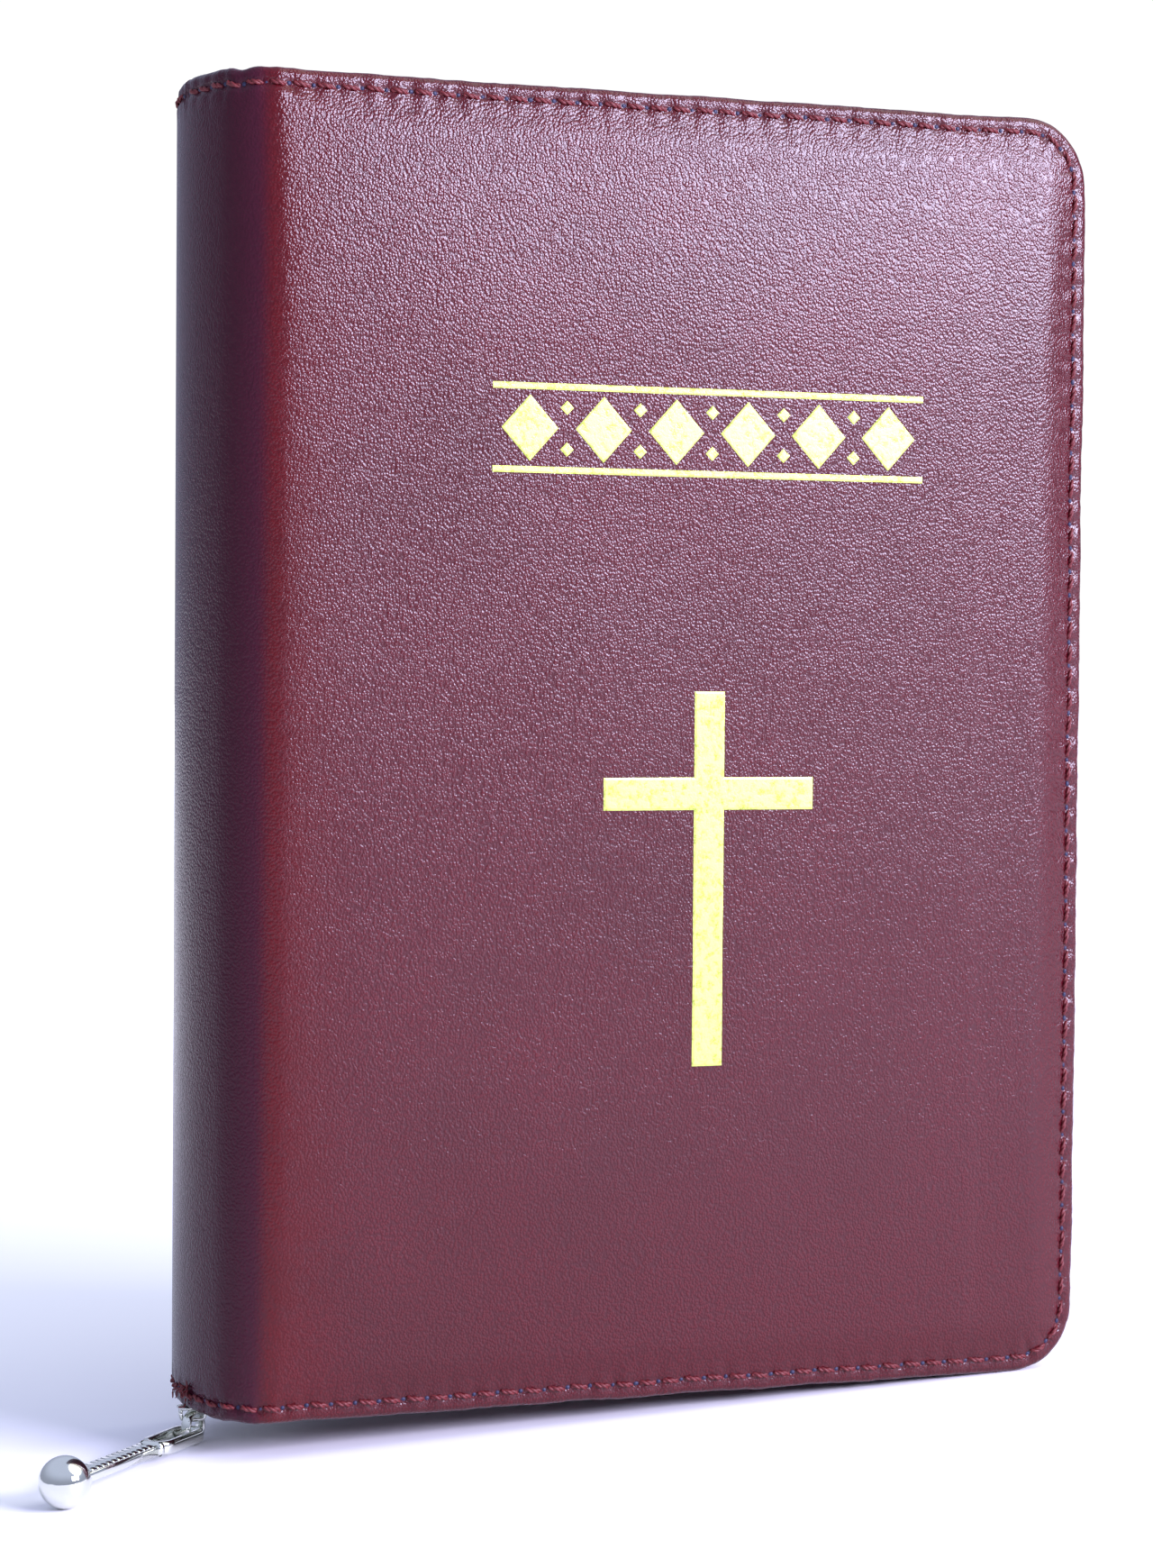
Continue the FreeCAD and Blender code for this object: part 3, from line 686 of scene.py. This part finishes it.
def build_tuft():
    """Loose ends of the seam's thread at the foot of the spine."""
    tuft = Shape()

    def spine_surface(y):
        return CROWN_X - math.sqrt(CROWN_RADIUS ** 2 - y * y)

    for _ in range(11):
        y = random.uniform(-5.5, 0.5)
        point = Vector((spine_surface(y) - 0.12, y, random.uniform(1.2, 3.6)))
        heading = Vector((random.uniform(-0.5, 0.0), random.uniform(-1, 1), random.uniform(-0.5, 1.0)))
        path = [point]
        for _ in range(7):
            heading = (heading + Vector([random.uniform(-0.7, 0.7) for _ in range(3)])).normalized()
            point = point + heading * 0.42
            # the end stays just outside the leather
            limit = spine_surface(point.y) - 0.10
            point = Vector((max(limit - 0.9, min(limit, point.x)), point.y, max(0.5, point.z)))
            path.append(point)
        tuft.tube(path, [0.13] * 6 + [0.10, 0.05], 6, Vector((0.3, 0.2, 1)))
    obj = tuft.build("thread_tuft", thread)
    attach(obj, "spine")


build_tuft()


# ------------------------------------------------------------------ gold foil

# the middle of both motifs, along X
MOTIF_X = 6.0


def foil_plate(shape, outline, shrunk):
    """A flat piece of foil with sloping edges, from an outline and the same outline drawn in."""
    rings = []
    for points, lift in ((outline, -0.25), (outline, 0.02), (shrunk, 0.10)):
        ring = []
        for x, z in points:
            x += MOTIF_X
            ring.append(Vector((x, -HALF_THICK - lift - face_lift(x - FOLD_START, z), z)))
        rings.append(ring)
    shape.rings(rings)


def cross_outline(cut):
    half, reach = 2.3 - cut, 16.1 - cut
    low, high, arm_low, arm_high = 47.4 + cut, 100.7 - cut, 83.9 + cut, 88.5 - cut
    return [(-half, low), (half, low), (half, arm_low), (reach, arm_low),
            (reach, arm_high), (half, arm_high), (half, high), (-half, high),
            (-half, arm_high), (-reach, arm_high), (-reach, arm_low), (-half, arm_low)]


def bar_outline(x0, x1, z0, z1):
    return [(x0, z0), (x1, z0), (x1, z1), (x0, z1)]


def diamond_outline(x, z, half_wide, half_high, cut):
    wide, high = half_wide - 1.4 * cut, half_high - 1.4 * cut
    return [(x - wide, z), (x, z - high), (x + wide, z), (x, z + high)]


def build_foils():
    """The plain cross, and an ornament band of diamonds between two rules."""
    cross = Shape()
    foil_plate(cross, cross_outline(0), cross_outline(0.3))
    band = Shape()
    reach, low, high, rule, cut, count = 33.0, 131.0, 143.5, 0.9, 0.22, 6
    middle, pitch = (low + high) / 2, 2 * reach / count
    # each rule is in short lengths, so that it follows the face
    for z0, z1 in ((low, low + rule), (high - rule, high)):
        for k in range(2 * count):
            x0, x1 = -reach + k * pitch / 2, -reach + (k + 1) * pitch / 2
            foil_plate(band, bar_outline(x0, x1, z0, z1), bar_outline(x0, x1, z0 + cut, z1 - cut))

    def diamond(x, z, half_wide, half_high):
        foil_plate(band, diamond_outline(x, z, half_wide, half_high, 0),
                   diamond_outline(x, z, half_wide, half_high, cut))

    for k in range(count):
        diamond(-reach + (k + 0.5) * pitch, middle, 4.2, 4.6)
    for k in range(1, count):
        for z in (middle + 2.9, middle - 2.9):
            diamond(-reach + k * pitch, z, 1.0, 1.0)
    for shape, name in ((cross, "foil_cross"), (band, "foil_ornament")):
        obj = shape.build(f"{name}_leaf", foil, smooth=False)
        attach(obj, "front_cover")
        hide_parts(name)


build_foils()


# ------------------------------------------------------------------ zip chain

CHAIN_INSET = 2.0
TOOTH_PITCH = 2.5
ZIP_START = -49.5
# a tooth's half length and half height at distances from the zip's middle, from root to nose
TOOTH_SHAPE = ((3.1, 0.45, 0.75), (2.9, 0.60, 0.95), (1.7, 0.60, 0.95), (1.2, 0.42, 0.90),
               (0.7, 0.42, 0.90), (0.2, 0.58, 0.92), (-0.35, 0.56, 0.88), (-0.65, 0.38, 0.70))
TOOTH_SECTION = ((-1, -0.7), (-0.7, -1), (0.7, -1), (1, -0.7),
                 (1, 0.7), (0.7, 1), (-0.7, 1), (-1, 0.7))


def chain_path():
    """Length of the zip's path and its place and heading at a length along it."""
    right, high = HALF_WIDTH - CHAIN_INSET, HEIGHT - CHAIN_INSET
    radius = CORNER - CHAIN_INSET
    run, rise = right - radius - ZIP_START, high - CHAIN_INSET - 2 * radius
    quarter = math.pi * radius / 2

    def place(length):
        if length <= run:
            return Vector((ZIP_START + length, 0, CHAIN_INSET)), 0.0
        length -= run
        if length <= quarter:
            a = length / radius
            return Vector((right - radius + radius * math.sin(a), 0,
                           CHAIN_INSET + radius - radius * math.cos(a))), a
        length -= quarter
        if length <= rise:
            return Vector((right, 0, CHAIN_INSET + radius + length)), math.pi / 2
        length -= rise
        if length <= quarter:
            a = length / radius
            return Vector((right - radius + radius * math.cos(a), 0,
                           high - radius + radius * math.sin(a))), math.pi / 2 + a
        length -= quarter
        return Vector((right - radius - length, 0, high)), math.pi

    return 2 * run + rise + 2 * quarter, place


def build_chain(side, word, body):
    """One row of moulded teeth whose noses lie between those of the other row."""
    total, place = chain_path()
    first = 0.8 + (TOOTH_PITCH / 2 if side > 0 else 0)
    teeth = Shape()
    for k in range(int((total - 3.2 - first) / TOOTH_PITCH) + 1):
        centre, heading = place(first + k * TOOTH_PITCH)
        turn = Matrix.Translation(centre) @ Matrix.Rotation(-heading, 4, "Y")
        tooth = Shape()
        # a waisted tooth: a broad root on the tape, a neck and a rounded nose past the middle
        tooth.rings([[Vector((half_long * a, side * y, half_high * b)) for a, b in TOOTH_SECTION]
                     for y, half_long, half_high in TOOTH_SHAPE])
        faces = tooth.faces if side > 0 else [face[::-1] for face in tooth.faces]
        teeth.add([turn @ v for v in tooth.verts], faces)
    obj = teeth.build(f"zip_chain_{word}", zip_plastic, smooth=False)
    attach(obj, body)
    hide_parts(f"zip_teeth_{word}")


build_chain(-1, "front", "front_cover")
build_chain(1, "back", "back_cover")


# ------------------------------------------------------------------ slider, ring and pull

def metal_piece(shape, name, body, stands_for, smooth=True, place=None):
    obj = shape.build(name, nickel, smooth, place)
    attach(obj, body)
    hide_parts(stands_for)


# the ring's middle, and the pull's directions along and across
RING_CENTRE = Vector((-64.4, 0, -3.2))
PULL_HEADING = Vector((-0.667, -0.745, 0)).normalized()
PULL_ASIDE = Vector((-PULL_HEADING.y, PULL_HEADING.x, 0))


def build_slider():
    """Two plates with flanges along their sides, and the bail that holds the ring."""
    shape = Shape()
    channel, plate = 2.3, 0.9
    low = CHAIN_INSET - channel / 2 - plate
    inner_low, inner_high = low + plate, low + plate + channel
    for z in (low, inner_high):
        shape.box((-62.0, -4.5, z), (-51.5, 4.5, z + plate), 0.3)
    for y in (-4.5, 3.5):
        for z in (inner_low - 0.2, inner_high - 0.7):
            shape.box((-61.9, y + 0.02, z), (-51.6, y + 0.98, z + 0.9), 0.1)
    metal_piece(shape, "slider_shell", "zip_slider", "slider_body", smooth=False)
    bail = Shape()
    bail.box((-66.5, -1.2, -0.55), (-58.1, 1.2, -0.06), 0.15)
    loop = ((-1.8, -0.4), (-1.8, -1.3), (-1.6, -1.9), (-1.2, -2.1), (0, -2.12),
            (1.2, -2.1), (1.6, -1.9), (1.8, -1.3), (1.8, -0.4))
    bail.tube([Vector((RING_CENTRE.x + x, 0, z)) for x, z in loop], 0.3, 10, Vector((0, 1, 0)))
    metal_piece(bail, "bail_loop", "zip_slider", "slider_bail")


def build_ring():
    """Flat strip bent into a ring, with softened edges."""
    section = [(1.95, -0.55), (2.01, -0.68), (2.32, -0.70), (2.40, -0.60),
               (2.40, 0.60), (2.32, 0.70), (2.01, 0.68), (1.95, 0.55)]
    rings, around = [], 48
    for k in range(around):
        a = 2 * math.pi * k / around
        ray = PULL_HEADING * math.cos(a) + Vector((0, 0, math.sin(a)))
        rings.append([RING_CENTRE + ray * radius + PULL_ASIDE * wide for radius, wide in section])
    shape = Shape()
    shape.rings(rings, closed=True)
    metal_piece(shape, "ring_strip", "pull_ring", "pull_ring")


def build_pull():
    """Eye, collar, grooved bar and ball, drawn along local +X as in the CAD."""
    climb = Matrix.Rotation(math.radians(-1.1), 4, PULL_ASIDE)
    axes = Matrix((PULL_HEADING, PULL_ASIDE, Vector((0, 0, 1)))).transposed().to_4x4()
    wall_half, eye_half, eye_length = 0.5, 2.35, 13.0
    ball_x, radius = 37.2, 3.5
    origin = RING_CENTRE - Vector((0, 0, 0.7)) - PULL_HEADING * wall_half
    place = Matrix.Translation(origin) @ climb @ axes
    shape = Shape()
    # eye: a wall of rounded rectangular section bent into an oval
    section = [(0.50, -0.62), (0.30, -0.90), (-0.30, -0.90), (-0.50, -0.62),
               (-0.50, 0.62), (-0.30, 0.90), (0.30, 0.90), (0.50, 0.62)]
    bend, run = eye_half - wall_half, eye_length - 2 * eye_half
    half_way = math.pi * bend + run
    middle = eye_length / 2
    rings, around = [], 80
    for k in range(around):
        t = k / around * 2 * half_way
        side = 1 if t < half_way else -1
        t = t % half_way
        if t < run:
            ray = Vector((0, -side, 0))
            centre = Vector((middle + side * (t - run / 2), -side * bend, 0))
        else:
            a = (t - run) / bend
            ray = Vector((side * math.sin(a), -side * math.cos(a), 0))
            centre = Vector((middle + side * run / 2, 0, 0)) + ray * bend
        rings.append([centre + ray * p + Vector((0, 0, q)) for p, q in section])
    shape.rings(rings, closed=True)
    # collar
    shape.box((eye_length - 0.8, -1.9, -1.0), (eye_length + 0.7, 1.9, 1.0), 0.45)
    # bar, whose upper face carries slanting ridges
    shape.box((eye_length, -1.45, -0.85), (ball_x - 1.0, 1.45, 0.62), 0.2)
    pitch, lean, ridge_half, foot = 1.45, 0.62, 1.35, 0.45
    profile = ((-0.66, 0.55), (-0.60, 0.76), (-0.45, 0.84), (0.45, 0.84), (0.60, 0.76), (0.66, 0.55))
    for k in range(12):
        x = eye_length + 1.2 + pitch * (k + 0.5)
        rings = []
        for offset, z in profile:
            near, far = x + offset - lean, x + offset + lean
            rings.append([Vector((near, -ridge_half, z)), Vector((far, ridge_half, z)),
                          Vector((far, ridge_half, foot)), Vector((near, -ridge_half, foot))])
        shape.rings(rings)
    # ball
    rings, bands, around = [], 32, 48
    for k in range(1, bands):
        a = math.pi * k / bands
        x, reach = ball_x - radius * math.cos(a), radius * math.sin(a)
        rings.append([Vector((x, reach * math.cos(b), reach * math.sin(b)))
                      for b in (2 * math.pi * j / around for j in range(around))])
    shape.rings(rings)
    metal_piece(shape, "pull_casting", "pull", "pull_tab", place=place)


build_slider()
build_ring()
build_pull()


# ------------------------------------------------------------------ camera, light, size and end

def camera_and_light():
    """A camera at the photograph's viewing angle, soft daylight, a window's sheen and a pale floor that
    glows more towards the back.
    """
    camera_data = bpy.data.cameras.new("camera")
    camera = bpy.data.objects.new("camera", camera_data)
    bpy.context.scene.collection.objects.link(camera)
    bpy.context.scene.camera = camera
    camera_data.sensor_fit = "VERTICAL"
    camera_data.sensor_height = 36.0
    camera_data.lens = 82.759
    camera_data.clip_start, camera_data.clip_end = 0.05, 20
    yaw, pitch, roll = (math.radians(a) for a in (20.79, 2.0, 0.46))
    ahead = Vector((math.sin(yaw) * math.cos(pitch), math.cos(yaw) * math.cos(pitch), -math.sin(pitch)))
    right = Vector((math.cos(yaw), -math.sin(yaw), 0))
    up = right.cross(ahead)
    across = right * math.cos(roll) + up * math.sin(roll)
    over = up * math.cos(roll) - right * math.sin(roll)
    turn = Matrix((across, over, -ahead)).transposed()
    camera.matrix_world = Matrix.Translation(Vector((-193.3, -489.4, 105.3)) * MM) @ turn.to_4x4()

    scene = bpy.context.scene
    scene.view_settings.view_transform = "Standard"
    world = bpy.data.worlds.new("studio")
    scene.world = world
    world.use_nodes = True
    tree = world.node_tree
    # the sky gives more light from above than from the side
    ambient = tree.nodes["Background"]
    direction, split = tree.nodes.new("ShaderNodeTexCoord"), tree.nodes.new("ShaderNodeSeparateXYZ")
    ramp = tree.nodes.new("ShaderNodeMapRange")
    ramp.interpolation_type = "SMOOTHSTEP"
    for key, number in (("From Min", 0.05), ("From Max", 0.75), ("To Min", 0.60), ("To Max", 1.05)):
        ramp.inputs[key].default_value = number
    tree.links.new(direction.outputs["Generated"], split.inputs[0])
    tree.links.new(split.outputs["Z"], ramp.inputs["Value"])
    tree.links.new(ramp.outputs["Result"], ambient.inputs["Strength"])
    ambient.inputs["Color"].default_value = (0.65, 0.71, 1.0, 1)
    # what the camera sees past the floor is plain white
    backdrop = tree.nodes.new("ShaderNodeBackground")
    backdrop.inputs["Color"].default_value = (1, 1, 1, 1)
    backdrop.inputs["Strength"].default_value = 1.05
    rays, choice = tree.nodes.new("ShaderNodeLightPath"), tree.nodes.new("ShaderNodeMixShader")
    tree.links.new(rays.outputs["Is Camera Ray"], choice.inputs[0])
    tree.links.new(ambient.outputs[0], choice.inputs[1])
    tree.links.new(backdrop.outputs[0], choice.inputs[2])
    tree.links.new(choice.outputs[0], tree.nodes["World Output"].inputs["Surface"])

    # the window's reflection is the sheen along the top of the front cover
    data = bpy.data.lights.new("window", "AREA")
    data.shape, data.size, data.size_y = "RECTANGLE", 820 * MM, 470 * MM
    data.energy, data.color = 60, (0.76, 0.72, 1.0)
    window = bpy.data.objects.new("window", data)
    scene.collection.objects.link(window)
    window.location = Vector((838, -1186, 629)) * MM
    aim = Vector((20, -17, 165)) * MM
    window.rotation_euler = (aim - window.location).to_track_quat("-Z", "Y").to_euler()

    data = bpy.data.lights.new("daylight", "SUN")
    data.energy, data.angle, data.color = 1.3, math.radians(50), (0.98, 1.0, 0.90)
    sun = bpy.data.objects.new("daylight", data)
    scene.collection.objects.link(sun)
    sun.rotation_euler = Vector((0.75, -0.30, 1.0)).to_track_quat("Z", "Y").to_euler()

    # the floor meets the covers' lower edges at the fore-edge, and passes under the pull at the spine
    paper = new_material("pale_floor", (0.90, 0.90, 0.92), 0.6, Emission_Color=(1, 1, 1, 1))
    n = Nodes(paper)
    split = n.add("ShaderNodeSeparateXYZ")
    n.link(n.place, split.inputs[0])
    # painted light: the floor glows more the further back it lies, so it fades to white behind the book
    n.link(n.remap(split.outputs["Y"], 0.15, 0.7, 0.0, 0.6), n.shader.inputs["Emission Strength"])
    far = 4000
    floor = add_mesh("floor", [(-far, -far, 0), (far, -far, 0), (far, far, 0), (-far, far, 0)],
                     [(0, 1, 2, 3)], paper, smooth=False)
    rest_x, drop_at_ring = FORE, 5.6
    tilt = math.atan2(drop_at_ring, rest_x - RING_CENTRE.x)
    floor.location = Vector((rest_x, 0, 0)) * MM
    floor.rotation_euler = (0, -tilt, 0)


camera_and_light()
